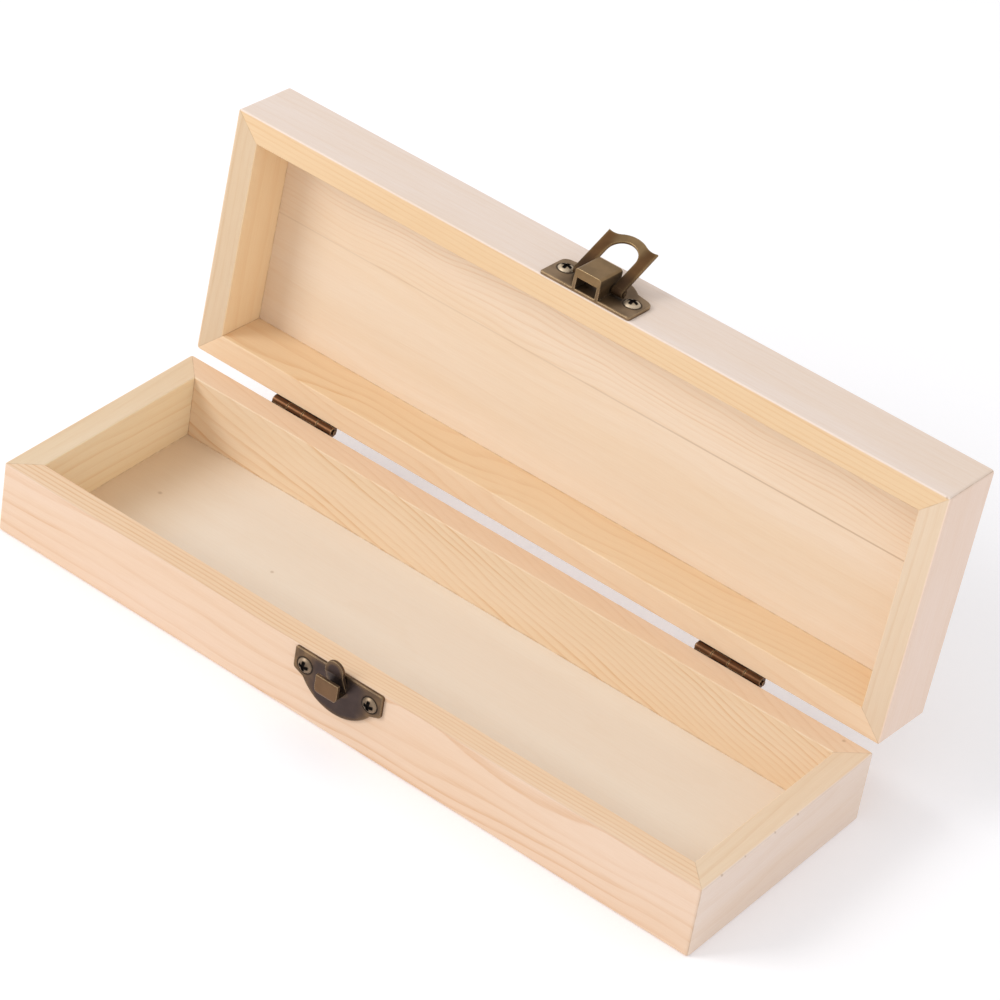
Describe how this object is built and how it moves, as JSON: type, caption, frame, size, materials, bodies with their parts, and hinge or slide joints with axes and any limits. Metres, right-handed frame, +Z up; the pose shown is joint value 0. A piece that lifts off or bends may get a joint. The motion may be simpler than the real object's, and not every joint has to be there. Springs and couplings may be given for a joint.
{
  "type": "wooden pencil box",
  "caption": "Long hinged pine box for pencils, with mitred corners, butt hinges on the back and a bronze hasp clasp on the front.",
  "frame": {"origin": "centre of the base's underside, the face that the box stands on", "axes": "+X along the box towards its right end, -Y out of the front that carries the clasp, +Z up"},
  "size_m": [0.2, 0.0959, 0.0942],
  "materials": {
    "pine": "sanded bare pine",
    "plywood": "sanded plywood",
    "bronze": "antique bronze, worn bright at the edges",
    "screw": "antique bronze, a little brighter"
  },
  "bodies": {
    "base": {"base_front_wall": "pine", "base_back_wall": "pine", "base_left_wall": "pine", "base_right_wall": "pine", "base_bottom_panel": "plywood", "left_hinge_base_leaf": "bronze", "left_hinge_pin": "bronze", "left_hinge_base_screws": "screw", "right_hinge_base_leaf": "bronze", "right_hinge_pin": "bronze", "right_hinge_base_screws": "screw", "catch_plate": "bronze", "catch_screws": "screw"},
    "lid": {"lid_front_wall": "pine", "lid_back_wall": "pine", "lid_left_wall": "pine", "lid_right_wall": "pine", "lid_top_panel": "pine", "left_hinge_lid_leaf": "bronze", "left_hinge_lid_screws": "screw", "right_hinge_lid_leaf": "bronze", "right_hinge_lid_screws": "screw", "latch_plate": "bronze", "latch_screws": "screw", "hasp_pin": "bronze"},
    "hasp": {"hasp": "bronze"}
  },
  "joints": [
    {"name": "lid_hinge", "type": "hinge", "parent": "base", "child": "lid", "pos_m": [0, 0.03435, 0.0191], "axis": [1, 0, 0], "range_deg": [0, 94.3]},
    {"name": "hasp_hinge", "type": "hinge", "parent": "lid", "child": "hasp", "pos_m": [0.0011, 0.04515, 0.08803], "axis": [1, 0, 0], "range_deg": [0, 154]}
  ]
}
